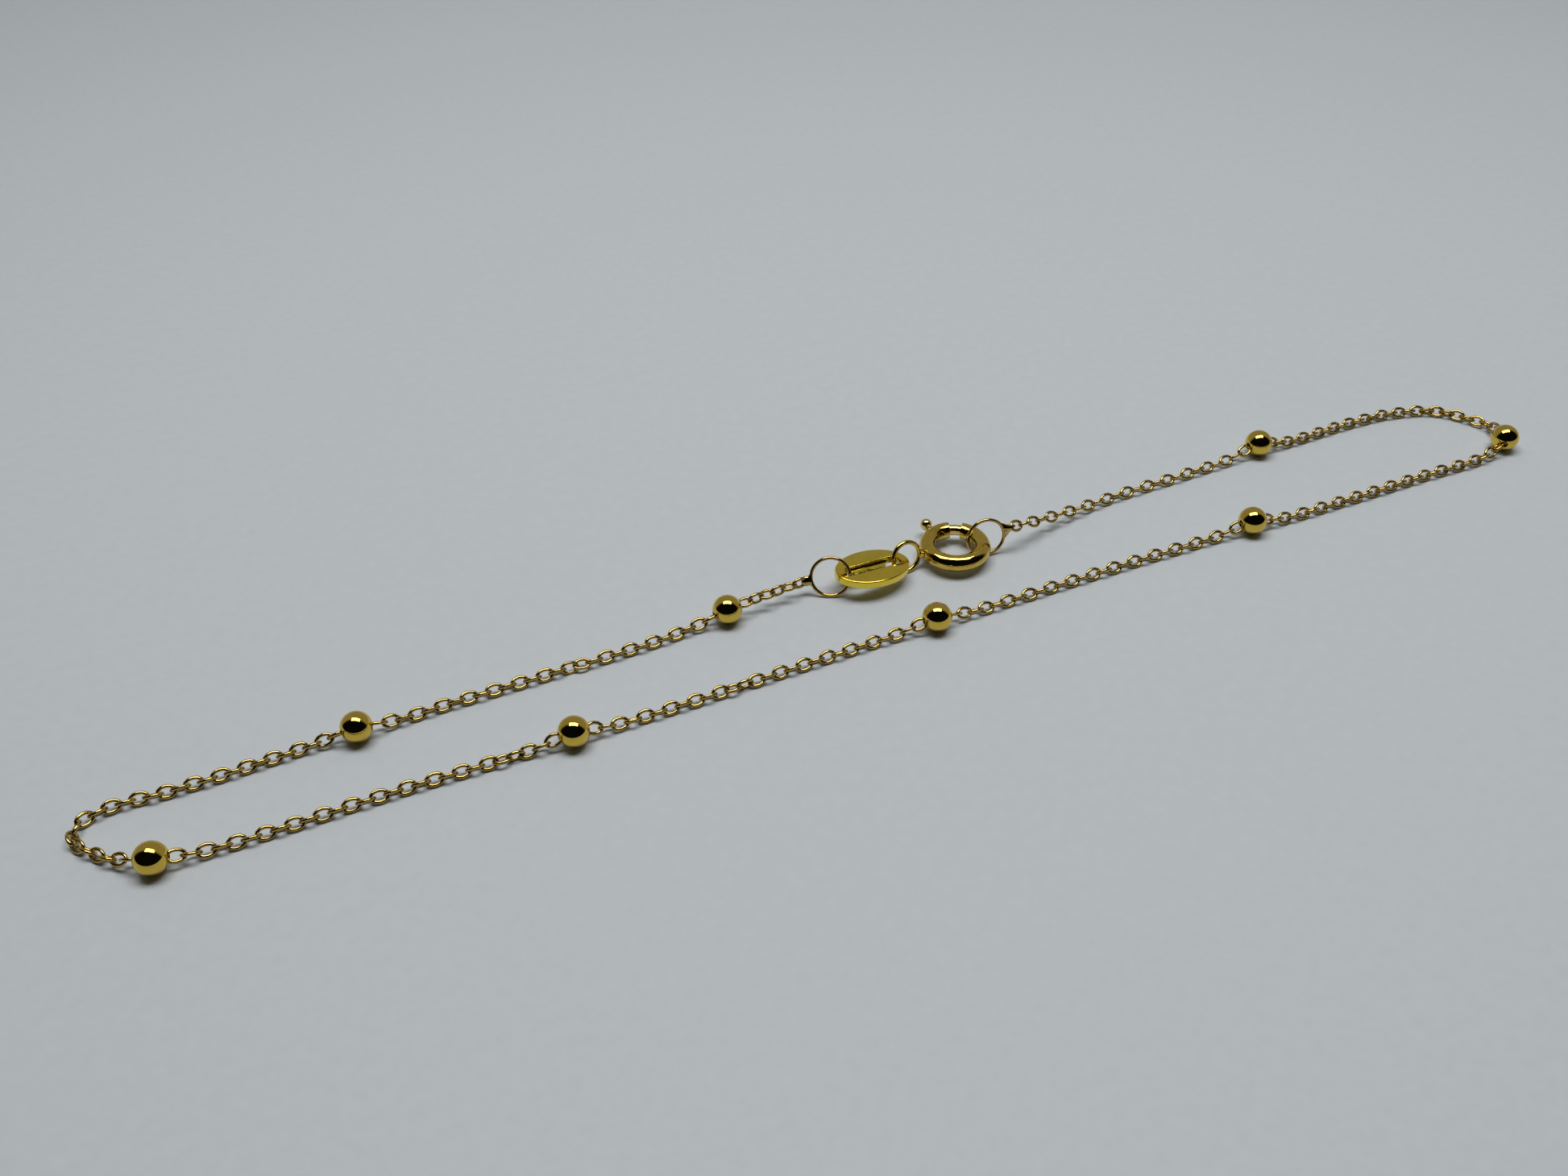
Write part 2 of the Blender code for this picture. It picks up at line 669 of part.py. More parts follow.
def main():
    clear_scene()
    collection = new_collection(COLLECTION_NAME)
    helpers = new_collection(HELPER_COLLECTION_NAME)
    bead_metal = new_metal("polished_bead_gold", (0.86, 0.62, 0.16), 0.08)
    chain_metal = new_metal("chain_gold", (0.82, 0.63, 0.24), 0.16)
    clasp_metal = new_metal("clasp_gold", (0.84, 0.61, 0.18), 0.12)
    bolt_metal = new_metal("bolt_gold", (0.86, 0.7, 0.32), 0.14)
    tag_metal = new_metal("tag_gold", (0.84, 0.66, 0.12), 0.2)
    ring_metal = new_metal("jump_ring_gold", (0.8, 0.62, 0.28), 0.14)

    layout = Layout()
    make_clasp_ring(layout, clasp_metal, collection, helpers)
    make_clasp_bolt(layout, bolt_metal, collection, helpers)
    make_tag(layout, tag_metal, collection)
    left = (layout.left_ring_matrix, LEFT_FILLET_ANGLE, LEFT_FILLET_LENGTH)
    right = (layout.right_ring_matrix, RIGHT_FILLET_ANGLE, RIGHT_FILLET_LENGTH)
    make_jump_ring("jump_ring_left", *left, ring_metal, collection, helpers)
    make_jump_ring("jump_ring_right", *right, ring_metal, collection, helpers)

    chain = Chain(fillet_end(*left), fillet_end(*right))
    for number, distance in enumerate(chain.beads, 1):
        name = f"bead_{number}"
        make_bead(name, chain.at(distance), chain.heading(distance), bead_metal, collection)
    for number, (start, end) in enumerate(chain.runs(), 1):
        make_chain_run(f"chain_run_{number}", chain, start, end, chain_metal, collection)


main()
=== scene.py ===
"""Beaded bracelet of polished yellow gold, lying fastened on a pale table.

Metres, +Z up. The goldsmith's pieces are made here in full: interlocking links, drilled
beads, the hollow clasp with its bolt, the open tag and the soldered jump rings.
"""

import math
import random

import bpy
import numpy as np
from mathutils import Matrix, Vector


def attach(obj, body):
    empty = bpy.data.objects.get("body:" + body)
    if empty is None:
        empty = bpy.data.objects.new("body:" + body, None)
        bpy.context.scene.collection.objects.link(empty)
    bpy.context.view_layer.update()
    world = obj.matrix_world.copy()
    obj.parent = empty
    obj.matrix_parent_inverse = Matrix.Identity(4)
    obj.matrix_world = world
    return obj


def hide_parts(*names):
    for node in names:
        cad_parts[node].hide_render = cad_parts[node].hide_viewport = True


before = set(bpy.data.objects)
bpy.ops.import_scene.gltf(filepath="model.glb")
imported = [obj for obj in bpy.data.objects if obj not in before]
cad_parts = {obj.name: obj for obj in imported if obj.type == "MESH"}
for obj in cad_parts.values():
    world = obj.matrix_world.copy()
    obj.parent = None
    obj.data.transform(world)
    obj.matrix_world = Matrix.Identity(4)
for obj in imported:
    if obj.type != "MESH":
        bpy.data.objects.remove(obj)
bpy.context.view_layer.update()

MM = 0.001

# Beads
BEAD_DIAMETER = 2.0 * MM
BEAD_BORE = 0.56 * MM
BEAD_BORE_DEPTH = 0.4 * MM
BEAD_SIDES = 64
BEAD_RINGS = 48

# Chain
TUBE_WIDTH = 0.84 * MM
LINK_ENDS_OUT = 0.1 * MM
LINK_LENGTH = 1.29 * MM
LINK_WIDTH = 0.92 * MM
LINK_WIRE = 0.225 * MM
LINK_SIDES = 12
LINK_WIRE_SIDES = 6
LINK_LEAN = math.radians(45)
LINK_ROLL_SPREAD = math.radians(7)
LINK_YAW_SPREAD = math.radians(5)
LINK_REST = 0.4 * MM
LINK_INTO_BEAD = 0.1 * MM
CHAIN_SEED = 11

# Jump rings
JUMP_RING_DIAMETER = 2.9 * MM
JUMP_RING_WIRE = 0.24 * MM
JUMP_RING_SIDES = 96
WIRE_SIDES = 20
LEFT_RING_SLOPE = math.radians(66)
LEFT_RING_TURN = math.radians(-25)
LEFT_RING_ACROSS = -0.13 * MM
LEFT_FILLET_ANGLE = math.radians(190)
LEFT_FILLET_LENGTH = 0.4 * MM
RIGHT_RING_SLOPE = math.radians(79)
RIGHT_RING_TURN = math.radians(-10)
RIGHT_RING_DIRECTION = math.radians(-13)
RIGHT_FILLET_ANGLE = math.radians(14)
RIGHT_FILLET_LENGTH = 0.58 * MM
FILLET_THICKNESS = 0.42 * MM
FILLET_STEPS = 12
FILLET_SIDES = 32
LEFT_FILLET_SHAPE = (0.5 * MM, 0.36 * MM, 0.33 * MM, 0.36 * MM, 0.35 * MM, 0.26 * MM, 0.1 * MM)
RIGHT_FILLET_SHAPE = (0.62 * MM, 0.5 * MM, 0.38 * MM, 0.28 * MM, 0.2 * MM, 0.15 * MM, 0.08 * MM)
SOLDER_OVER_LINK = 0.18 * MM
RUNNING_FIT = 0.09 * MM
LOOSE_FIT = 0.06 * MM

# Clasp
CLASP_PLACE = (6.5 * MM, 1.93 * MM)
CLASP_DIAMETER = 5.0 * MM
CLASP_TUBE = 1.16 * MM
CLASP_WALL = 0.12 * MM
CLASP_LIP = 0.025 * MM
CLASP_STEPS = 150
CLASP_TUBE_SIDES = 28
KNOB_SLOT_HALF = math.radians(25)
GAP_START = math.radians(47)
GAP_END = math.radians(74.5)
CLASP_LIFT = 0.16 * MM
EYE_DIAMETER = 2.42 * MM
EYE_WIRE = 0.32 * MM
EYE_SIDES = 72
EYE_SLOPE = math.radians(74)
EYE_TURN = math.radians(6)
EYE_DIRECTION = math.radians(177)
EYE_STAND_OFF = 0.05 * MM
EYE_JOIN_ANGLE = math.radians(-8)
EYE_ACROSS = 0.12 * MM
TAB_WIDTH = 0.55 * MM
TAB_HEIGHT = 0.5 * MM
TAB_BITE = 0.3 * MM
TAB_EDGE = 0.1 * MM
BOLT_LAP = math.radians(6)
BOLT_TAIL_ANGLE = math.radians(162)
KNOB_ANGLE = math.radians(101)
KNOB_TRAVEL = math.radians(35)
KNOB_REACH = 3.16 * MM
KNOB_DIAMETER = 0.85 * MM
KNOB_SIDES = 32
KNOB_RINGS = 20
STEM_DIAMETER = 0.3 * MM
STEM_SIDES = 24
BOLT_STEPS = 60
BOLT_SIDES = 24

# Tag
TAG_LENGTH = 5.4 * MM
TAG_WIDTH = 3.55 * MM
TAG_THICKNESS = 0.56 * MM
TAG_HEADING = math.radians(-1)
TAG_TILT = math.radians(4)
TAG_HEIGHT = 1.14 * MM
TAG_SLOT_WIDTH = 0.86 * MM
TAG_SLOT_CORNER = 0.2 * MM
TAG_SLOT_WAVE = 0.1 * MM
TAG_END_LEFT = 0.68 * MM
TAG_END_RIGHT = 0.63 * MM
TAG_EDGE = 0.08 * MM
TAG_EDGE_STEPS = 3
TAG_SIDES = 120
TAG_SLOT_STEPS = 40
TAG_CORNER_STEPS = 6
WELD = 0.001 * MM

# The ledge in the tag's slot: its ends as shares of the tag's length
LEDGE_ENDS = (-0.3, 0.27)
LEDGE_WIDTH = 0.42 * MM
LEDGE_DROP = 0.24 * MM
LEDGE_ABOVE_UNDERSIDE = 0.04 * MM
LEDGE_INTO_WALL = 0.2 * MM
LEDGE_EDGE = 0.06 * MM
LEDGE_STEPS = 28
LEDGE_TAPER = 6

# The ledge's wavy edge. Each row: the share of the ledge's width, how fast it waves
# along the ledge, and where it starts.
LEDGE_WAVES = (
    (0.12, 9.5, 0.6),
    (0.07, 23.0, 0.0),
)

# The tag's two joins. Each row: which, its length and depth, its place along and
# across the tag, how far up as a share of the way to the face, and its turn in
# degrees, all lengths in millimetres.
TAG_JOINS = (
    ("left end", 0.75, 0.16, -2.34, -0.32, 1.0, 28),
    ("near rim", 0.3, 0.8, -2.12, -1.1, 0.0, 63),
)
JOIN_WIDTH = 0.045 * MM

# The photograph's camera
IMAGE_WIDTH = 1946
FOCAL_PIXELS = 1850
SENSOR_WIDTH = 36.0
CAMERA_PLACE = (-37.526 * MM, -68.877 * MM, 64.73 * MM)
CAMERA_TURN = math.radians(-23.6)
CAMERA_PITCH = math.radians(39.18)
CAMERA_ROLL = math.radians(-0.95)

# The lamp
LAMP_PLACE = (0.02, 0.035, 0.3)
LAMP_SIZE = (0.3, 0.12)
LAMP_POWER = 0.72
LAMP_COLOUR = (1.0, 0.99, 0.97)

# The golds. Each row: the name, the clean colour and the darker mottled colour, the roughness, and
# how wide and how high the unevenness in the polish is, in millimetres. The darker colour is
# tarnish;
# on the chain and the jump rings it is also painted shade for the dim room their wires reflect.
GOLDS = (
    ("bead_gold", (0.8, 0.57, 0.1), (0.66, 0.46, 0.07), 0.03, 0.9, 0.003),
    # The chain's darker colour is mostly painted shade for the dim room its links reflect, partly
    # tarnish.
    ("chain_gold", (0.74, 0.53, 0.15), (0.3, 0.2, 0.06), 0.08, 0.4, 0.003),
    ("clasp_gold", (0.86, 0.62, 0.13), (0.5, 0.34, 0.05), 0.05, 0.55, 0.012),
    ("bolt_gold", (0.88, 0.7, 0.3), (0.72, 0.54, 0.18), 0.07, 0.4, 0.003),
    ("tag_gold", (0.99, 0.76, 0.1), (0.76, 0.56, 0.06), 0.075, 0.8, 0.01),
    # The rings' darker colour is mostly painted shade for the dim room their wires reflect, partly
    # tarnish.
    ("ring_gold", (0.76, 0.54, 0.17), (0.34, 0.22, 0.07), 0.09, 1.1, 0.005),
)
# How wide the patches of tarnish and painted shade are.
TARNISH_AND_SHADE_PATCH = 0.6 * MM
WORN_PATCH = 0.25 * MM

# The table
TABLE_WIDTH = 4.0
TABLE_GRAIN = 0.8 * MM
TABLE_DARK = (0.55, 0.595, 0.635, 1.0)
TABLE_PALE = (0.61, 0.655, 0.695, 1.0)
TABLE_ROUGHNESS = 0.6

# The room round the bracelet, by the share of a level look that goes away from the camera
WALL_START = 0.02
WALL_FULL = 0.3
WALL_TOP = 0.86
WALL_FADE = 0.12
DIM_ROOM = (0.003, 0.003, 0.004, 1.0)
PALE_WALL = (0.27, 0.265, 0.25, 1.0)

# The chain's route from the left jump ring, round the loop, to the right jump ring.
# Each row: what lies there, place along X and across Y, and how far the chain is
# lifted above lying on the surface, all lengths in millimetres.
CHAIN_ROUTE = (
    ("bead", -10.57, 2.31, 0.0),
    ("chain", -13.0, 2.2, 0.08),
    ("chain", -16.6, 1.95, 0.0),
    ("chain", -23.0, 1.9, 0.0),
    ("chain", -29.6, 1.9, 0.0),
    ("chain", -32.9, 1.75, 0.08),
    ("bead", -35.37, 1.62, 0.0),
    ("chain", -37.8, 1.8, 0.08),
    ("chain", -41.8, 1.65, 0.0),
    ("chain", -46.6, 1.55, 0.0),
    ("chain", -49.8, 1.7, 0.0),
    ("chain", -51.6, 1.05, 0.0),
    ("chain", -52.0, -0.2, 0.0),
    ("chain", -51.2, -1.4, 0.0),
    ("chain", -50.1, -2.6, 0.12),
    ("bead", -47.98, -3.99, 0.0),
    ("chain", -45.4, -4.15, 0.08),
    ("chain", -41.2, -4.2, 0.0),
    ("chain", -35.4, -4.1, 0.0),
    ("chain", -29.4, -4.2, 0.0),
    ("chain", -25.9, -4.3, 0.08),
    ("bead", -23.43, -4.39, 0.0),
    ("chain", -20.9, -4.35, 0.08),
    ("chain", -15.4, -4.35, 0.0),
    ("chain", -8.0, -4.2, 0.0),
    ("chain", -0.9, -4.15, 0.08),
    ("bead", 1.69, -4.27, 0.0),
    ("chain", 4.3, -4.2, 0.08),
    ("chain", 10.4, -4.2, 0.0),
    ("chain", 17.6, -4.2, 0.0),
    ("chain", 24.5, -4.35, 0.08),
    ("bead", 27.09, -4.46, 0.0),
    ("chain", 29.7, -4.6, 0.08),
    ("chain", 36.4, -4.7, 0.0),
    ("chain", 43.2, -4.7, 0.0),
    ("chain", 48.6, -4.75, 0.1),
    ("bead", 51.08, -4.01, 0.0),
    ("chain", 51.9, -1.6, 0.12),
    ("chain", 51.3, -0.1, 0.0),
    ("chain", 50.2, 1.4, 0.0),
    ("chain", 48.7, 2.35, 0.0),
    ("chain", 46.1, 3.05, 0.0),
    ("chain", 42.8, 3.3, 0.0),
    ("chain", 36.3, 3.2, 0.08),
    ("bead", 33.73, 3.36, 0.0),
    ("chain", 31.1, 3.15, 0.08),
    ("chain", 27.0, 3.0, 0.0),
    ("chain", 20.2, 2.85, 0.0),
    ("chain", 16.8, 2.42, 0.24),
    ("chain", 13.6, 1.85, 0.75),
)
ROUTE_STEPS = 24

# Each run of chain: its links, 1 where its first link leans to the left of the chain's
# way or -1 where it leans to the right, the links after which the chain is twisted by a
# quarter turn, and how many degrees the whole run is rolled from leaning evenly.
CHAIN_RUNS = (
    (6, 1, None, 45),
    (28, 1, 10, 0),
    (28, 1, None, 0),
    (28, 1, 22, 0),
    (28, 1, 10, 0),
    (28, -1, None, 0),
    (28, 1, None, 0),
    (28, 1, None, 0),
    (25, -1, None, 0),
)
TWIST_LINKS = 3


# Making shapes


def pick(*objects):
    """Leaves only these objects selected, the first one active."""
    bpy.ops.object.select_all(action="DESELECT")
    for obj in objects:
        obj.select_set(True)
    bpy.context.view_layer.objects.active = objects[0]


def direction(angle):
    return Vector((math.cos(angle), math.sin(angle), 0.0))


def settle(obj, matrix):
    """Writes an object's place into its mesh, so that the object stays at the origin."""
    obj.data.transform(matrix @ obj.matrix_world)
    obj.matrix_world = Matrix.Identity(4)
    if matrix.determinant() < 0:
        obj.data.flip_normals()
    return obj


def start_editing(obj, verts=None, faces=None):
    """Goes into edit mode with only the vertices or faces selected that pass the test."""
    pick(obj)
    mesh = obj.data
    for group in (mesh.vertices, mesh.edges, mesh.polygons):
        group.foreach_set("select", [False] * len(group))
    if verts:
        for vert in mesh.vertices:
            vert.select = verts(vert.co)
    if faces:
        for face in mesh.polygons:
            face.select = faces(face.center)
    bpy.ops.object.mode_set(mode="EDIT")
    bpy.ops.mesh.select_mode(type="VERT" if verts else "FACE")


def stop_editing():
    bpy.ops.object.mode_set(mode="OBJECT")


def apply_modifier(obj, kind, **settings):
    """Adds a modifier, sets it and applies it at once."""
    pick(obj)
    modifier = obj.modifiers.new(kind.lower(), kind)
    for name, value in settings.items():
        setattr(modifier, name, value)
    bpy.ops.object.modifier_apply(modifier=modifier.name)
    return obj


def unite(obj, *tools):
    """Joins solids into one closed surface."""
    for tool in tools:
        apply_modifier(obj, "BOOLEAN", operation="UNION", solver="EXACT", object=tool)
        bpy.data.objects.remove(tool, do_unlink=True)
    return obj


def cut(obj, tool):
    apply_modifier(obj, "BOOLEAN", operation="DIFFERENCE", solver="EXACT", object=tool)
    bpy.data.objects.remove(tool, do_unlink=True)
    return obj


def finish_piece(obj, name, metal, slot, body, *nodes):
    """Names a finished piece and seats it on the frame in the place of its plain solid."""
    obj.name = name
    obj.data.materials.clear()
    obj.data.materials.append(metal)
    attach(obj, body)
    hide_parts(*nodes)
    return obj


def smooth(obj, angle):
    pick(obj)
    bpy.ops.object.shade_smooth_by_angle(angle=math.radians(angle))
    return obj


def wire_ring(diameter, wire, sides, wire_sides, matrix):
    bpy.ops.mesh.primitive_torus_add(
        major_radius=(diameter - wire) / 2,
        minor_radius=wire / 2,
        major_segments=sides,
        minor_segments=wire_sides,
    )
    return settle(bpy.context.object, matrix)


# Where the clasp, its eye, the tag and the jump rings lie


def ring_matrix(centre, turn, slope):
    """A ring's plane: level along the turn's direction, rising at the slope across it."""
    along = direction(turn)
    rising = Matrix.Rotation(slope, 3, along) @ direction(turn + math.pi / 2)
    facing = along.cross(rising)
    columns = Matrix((along, rising, facing)).transposed().to_4x4()
    return Matrix.Translation(centre) @ columns


def resting_height(diameter, wire, slope):
    return wire / 2 + (diameter - wire) / 2 * math.sin(slope)


def rise_to(height, centre_height, slope):
    return (height - centre_height) / math.sin(slope)


def wire_point(radius, up, side):
    return Vector((side * math.sqrt(radius**2 - up**2), up, 0.0))


def slot_inset(ring, slope, radius, wire, up, side, tag_turn):
    clear = max(TAG_SLOT_CORNER, wire / 2 / math.sin(slope) + LOOSE_FIT)
    middle = wire_point(radius, up, side)
    leans = []
    for face in (-1, 0, 1):
        rise = up + face * TAG_THICKNESS / 2 / math.sin(slope)
        lean = ring.to_3x3() @ (wire_point(radius, rise, side) - middle)
        leans.append(-side * (tag_turn.to_3x3().inverted() @ lean).x)
    return clear + max(leans)


class Layout:
    """Each piece of the fastening lies where its neighbour puts it, as in the solids."""

    def __init__(self):
        self.clasp_radius = (CLASP_DIAMETER - CLASP_TUBE) / 2
        clasp_height = JUMP_RING_WIRE + CLASP_LIFT + CLASP_TUBE / 2
        self.clasp = Vector((*CLASP_PLACE, clasp_height))
        self.clasp_matrix = Matrix.Translation(self.clasp)
        self.place_eye()
        self.place_tag()
        self.place_left_ring()
        self.place_right_ring()

    def place_eye(self):
        radius = (EYE_DIAMETER - EYE_WIRE) / 2
        height = resting_height(EYE_DIAMETER, EYE_WIRE, EYE_SLOPE)
        join = ring_matrix(Vector(), EYE_TURN, EYE_SLOPE) @ (radius * direction(EYE_JOIN_ANGLE))
        reach = CLASP_DIAMETER / 2 + EYE_WIRE / 2 + EYE_STAND_OFF
        away = direction(EYE_DIRECTION)
        flat_join = Vector((join.x, join.y, 0.0))
        along = flat_join.dot(away)
        side = (flat_join - along * away).length
        distance = math.sqrt(reach**2 - side**2) - along
        self.eye = Vector((self.clasp.x, self.clasp.y, height)) + distance * away
        self.eye_matrix = ring_matrix(self.eye, EYE_TURN, EYE_SLOPE)
        self.join = self.eye + join

    def place_tag(self):
        radius = (EYE_DIAMETER - EYE_WIRE) / 2
        up = rise_to(TAG_HEIGHT, self.eye.z, EYE_SLOPE)
        seat = self.eye_matrix @ wire_point(radius, up, -1)
        turn = Matrix.Rotation(TAG_HEADING, 4, "Z") @ Matrix.Rotation(TAG_TILT, 4, "Y")
        inset = slot_inset(self.eye_matrix, EYE_SLOPE, radius, EYE_WIRE, up, -1, turn)
        reach = TAG_LENGTH / 2 - TAG_END_RIGHT - inset
        centre = seat - turn @ Vector((reach, TAG_SLOT_WAVE + EYE_ACROSS, 0.0))
        self.tag_matrix = Matrix.Translation(centre) @ turn

    def place_left_ring(self):
        radius = (JUMP_RING_DIAMETER - JUMP_RING_WIRE) / 2
        turn = self.tag_matrix.to_3x3().to_4x4()
        lean = ring_matrix(Vector(), LEFT_RING_TURN, LEFT_RING_SLOPE)
        height = resting_height(JUMP_RING_DIAMETER, JUMP_RING_WIRE, LEFT_RING_SLOPE)
        end = TAG_LENGTH / 2 - TAG_END_LEFT
        slot_end = self.tag_matrix @ Vector((-end, 0.0, 0.0))
        up = rise_to(slot_end.z, height, LEFT_RING_SLOPE)
        inset = slot_inset(lean, LEFT_RING_SLOPE, radius, JUMP_RING_WIRE, up, 1, turn)
        across = LEFT_RING_ACROSS - TAG_SLOT_WAVE
        seat = self.tag_matrix @ Vector((inset - end, across, 0.0))
        centre = seat - lean @ wire_point(radius, up, 1)
        centre.z = height
        self.left_ring_matrix = ring_matrix(centre, LEFT_RING_TURN, LEFT_RING_SLOPE)

    def place_right_ring(self):
        room = JUMP_RING_DIAMETER / 2 - JUMP_RING_WIRE - CLASP_TUBE / 2 - RUNNING_FIT
        height = resting_height(JUMP_RING_DIAMETER, JUMP_RING_WIRE, RIGHT_RING_SLOPE)
        outward = math.sqrt(max(0.0, room**2 - (height - self.clasp.z) ** 2))
        centre = self.clasp + (self.clasp_radius + outward) * direction(RIGHT_RING_DIRECTION)
        centre.z = height
        self.right_ring_matrix = ring_matrix(centre, RIGHT_RING_TURN, RIGHT_RING_SLOPE)


def fillet_end(matrix, angle, length):
    return matrix @ ((JUMP_RING_DIAMETER / 2 + length) * direction(angle))


# The chain's line


def smooth_curve(points):
    """Centripetal Catmull-Rom curve through the points, as closely spaced places."""
    points = np.array(points)
    ends = (2 * points[0] - points[1], 2 * points[-1] - points[-2])
    padded = np.vstack((ends[0], points, ends[1]))
    places = [points[0]]
    for k in range(len(points) - 1):
        a, b, c, d = padded[k : k + 4]
        ab = np.linalg.norm(b - a) ** 0.5
        bc = np.linalg.norm(c - b) ** 0.5
        cd = np.linalg.norm(d - c) ** 0.5
        leave = (b - a) / ab - (c - a) / (ab + bc) + (c - b) / bc
        arrive = (c - b) / bc - (d - b) / (bc + cd) + (d - c) / cd
        for step in range(1, ROUTE_STEPS + 1):
            t = step / ROUTE_STEPS
            places.append(
                (2 * t**3 - 3 * t**2 + 1) * b
                + (t**3 - 2 * t**2 + t) * bc * leave
                + (3 * t**2 - 2 * t**3) * c
                + (t**3 - t**2) * bc * arrive
            )
    return np.array(places)


class Chain:
    """The chain's smooth line, with each bead's distance along it."""

    def __init__(self, start, end):
        points = [tuple(start)]
        bead_rows = []
        for kind, along, across, lift in CHAIN_ROUTE:
            resting = BEAD_DIAMETER / 2 if kind == "bead" else TUBE_WIDTH / 2
            if kind == "bead":
                bead_rows.append(len(points))
            points.append((along * MM, across * MM, resting + lift * MM))
        points.append(tuple(end))
        self.line = smooth_curve(points)
        self.line[:, 2] = np.maximum(self.line[:, 2], TUBE_WIDTH / 2)
        lengths = np.linalg.norm(np.diff(self.line, axis=0), axis=1)
        self.distance = np.concatenate(((0.0,), np.cumsum(lengths)))
        self.length = self.distance[-1]
        self.beads = [self.distance[row * ROUTE_STEPS] for row in bead_rows]

    def at(self, distance):
        return Vector([np.interp(distance, self.distance, self.line[:, k]) for k in range(3)])

    def link_at(self, distance):
        """A link lies lower than the solids' tube, which is as wide as the links."""
        place = self.at(distance)
        flat = min(1.0, max(0.0, (BEAD_DIAMETER / 2 - place.z) / (BEAD_DIAMETER - TUBE_WIDTH) * 2))
        place.z -= (TUBE_WIDTH / 2 - LINK_REST) * flat
        return place

    def heading(self, distance, reach):
        return (self.at(distance + reach) - self.at(distance - reach)).normalized()


# Pieces


def make_link():
    """One oval link, long along X: a ring of wire drawn out, least at its long sides."""
    radius = (LINK_WIDTH - LINK_WIRE) / 2
    bpy.ops.mesh.primitive_torus_add(
        major_radius=radius,
        minor_radius=LINK_WIRE / 2,
        major_segments=LINK_SIDES,
        minor_segments=LINK_WIRE_SIDES,
    )
    link = bpy.context.object
    stretch = (LINK_LENGTH - LINK_WIDTH) / 2
    turn = 2 * math.pi
    for k in range(LINK_SIDES):
        around = turn * k / LINK_SIDES

        def in_section(place):
            return abs(math.remainder(math.atan2(place.y, place.x) - around, turn)) < 0.05

        start_editing(link, verts=in_section)
        bpy.ops.transform.translate(value=(stretch * math.cos(around), 0.0, 0.0))
        stop_editing()
    return smooth(link, 80)


def link_matrix(place, heading, roll, yaw):
    """A link's place: long along the heading, its face rolled about it."""
    side = Vector((0.0, 0.0, 1.0)).cross(heading).normalized()
    up = heading.cross(side)
    face = Matrix.Rotation(roll, 3, heading) @ up
    across = face.cross(heading)
    turn = Matrix.Rotation(yaw, 3, face)
    columns = Matrix((turn @ heading, turn @ across, face)).transposed().to_4x4()
    return Matrix.Translation(place) @ columns


def make_run(number, chain, link, start, end, metal, rng):
    """A run of interlocking links, each a quarter turn from the one before."""
    count, first, twist_after, rolled = CHAIN_RUNS[number - 1]
    pitch = (end - start) / count
    pieces = []
    for k in range(count):
        distance = start + (k + 0.5) * pitch
        lean = LINK_LEAN * (first if k % 2 == 0 else -first) + math.radians(rolled)
        if twist_after is not None:
            lean += min(1.0, max(0.0, (k - twist_after) / TWIST_LINKS)) * math.pi / 2
        roll = lean + rng.uniform(-1, 1) * LINK_ROLL_SPREAD
        yaw = rng.uniform(-1, 1) * LINK_YAW_SPREAD
        piece = link.copy()
        piece.data = link.data.copy()
        bpy.context.scene.collection.objects.link(piece)
        place = chain.link_at(distance)
        ahead = chain.link_at(distance + pitch / 2)
        heading = (ahead - chain.link_at(distance - pitch / 2)).normalized()
        settle(piece, link_matrix(place, heading, roll, yaw))
        pieces.append(piece)
    pick(*pieces)
    bpy.ops.object.join()
    return finish_piece(
        pieces[0], f"links_{number}", metal, "chain_gold", "bracelet", f"chain_run_{number}"
    )


def make_ball(number, place, heading, metal):
    """A polished ball, drilled through along the chain."""
    radius = BEAD_DIAMETER / 2
    bpy.ops.mesh.primitive_uv_sphere_add(
        segments=BEAD_SIDES, ring_count=BEAD_RINGS, radius=radius
    )
    ball = bpy.context.object
    mouth = math.sqrt(radius**2 - (BEAD_BORE / 2) ** 2)
    start_editing(ball, faces=lambda place: abs(place.z) > mouth)
    bpy.ops.mesh.delete(type="FACE")
    stop_editing()
    for side in (-1, 1):
        rim = max(side * vert.co.z for vert in ball.data.vertices) - 0.01 * MM
        start_editing(ball, verts=lambda place: side * place.z > rim)
        bpy.ops.mesh.extrude_region_move(
            TRANSFORM_OT_translate={"value": (0.0, 0.0, -side * BEAD_BORE_DEPTH)}
        )
        bpy.ops.mesh.edge_face_add()
        stop_editing()
    smooth(ball, 40)
    turn = heading.to_track_quat("Z", "Y").to_matrix().to_4x4()
    settle(ball, Matrix.Translation(place) @ turn)
    return finish_piece(ball, f"ball_{number}", metal, "bead_gold", "bracelet", f"bead_{number}")


def arc_tube(radius, thickness, start, end, steps, sides):
    """An open round tube, bent along part of a circle about Z."""
    bpy.ops.mesh.primitive_circle_add(
        vertices=sides, radius=thickness / 2, rotation=(math.pi / 2, 0.0, 0.0)
    )
    tube = bpy.context.object
    place = Matrix.Rotation(start, 4, "Z") @ Matrix.Translation((radius, 0.0, 0.0))
    settle(tube, place)
    start_editing(tube, verts=lambda place: True)
    bpy.ops.mesh.spin(
        steps=steps, dupli=False, angle=start - end, center=(0.0, 0.0, 0.0), axis=(0.0, 0.0, 1.0)
    )
    bpy.ops.mesh.select_all(action="SELECT")
    bpy.ops.mesh.normals_make_consistent(inside=False)
    stop_editing()
    return tube


def tube_angle(place, radius):
    """How far round its own tube a place on a ring lies, from the ring's outer side."""
    outward = math.hypot(place.x, place.y) - radius
    return math.atan2(place.z, outward)


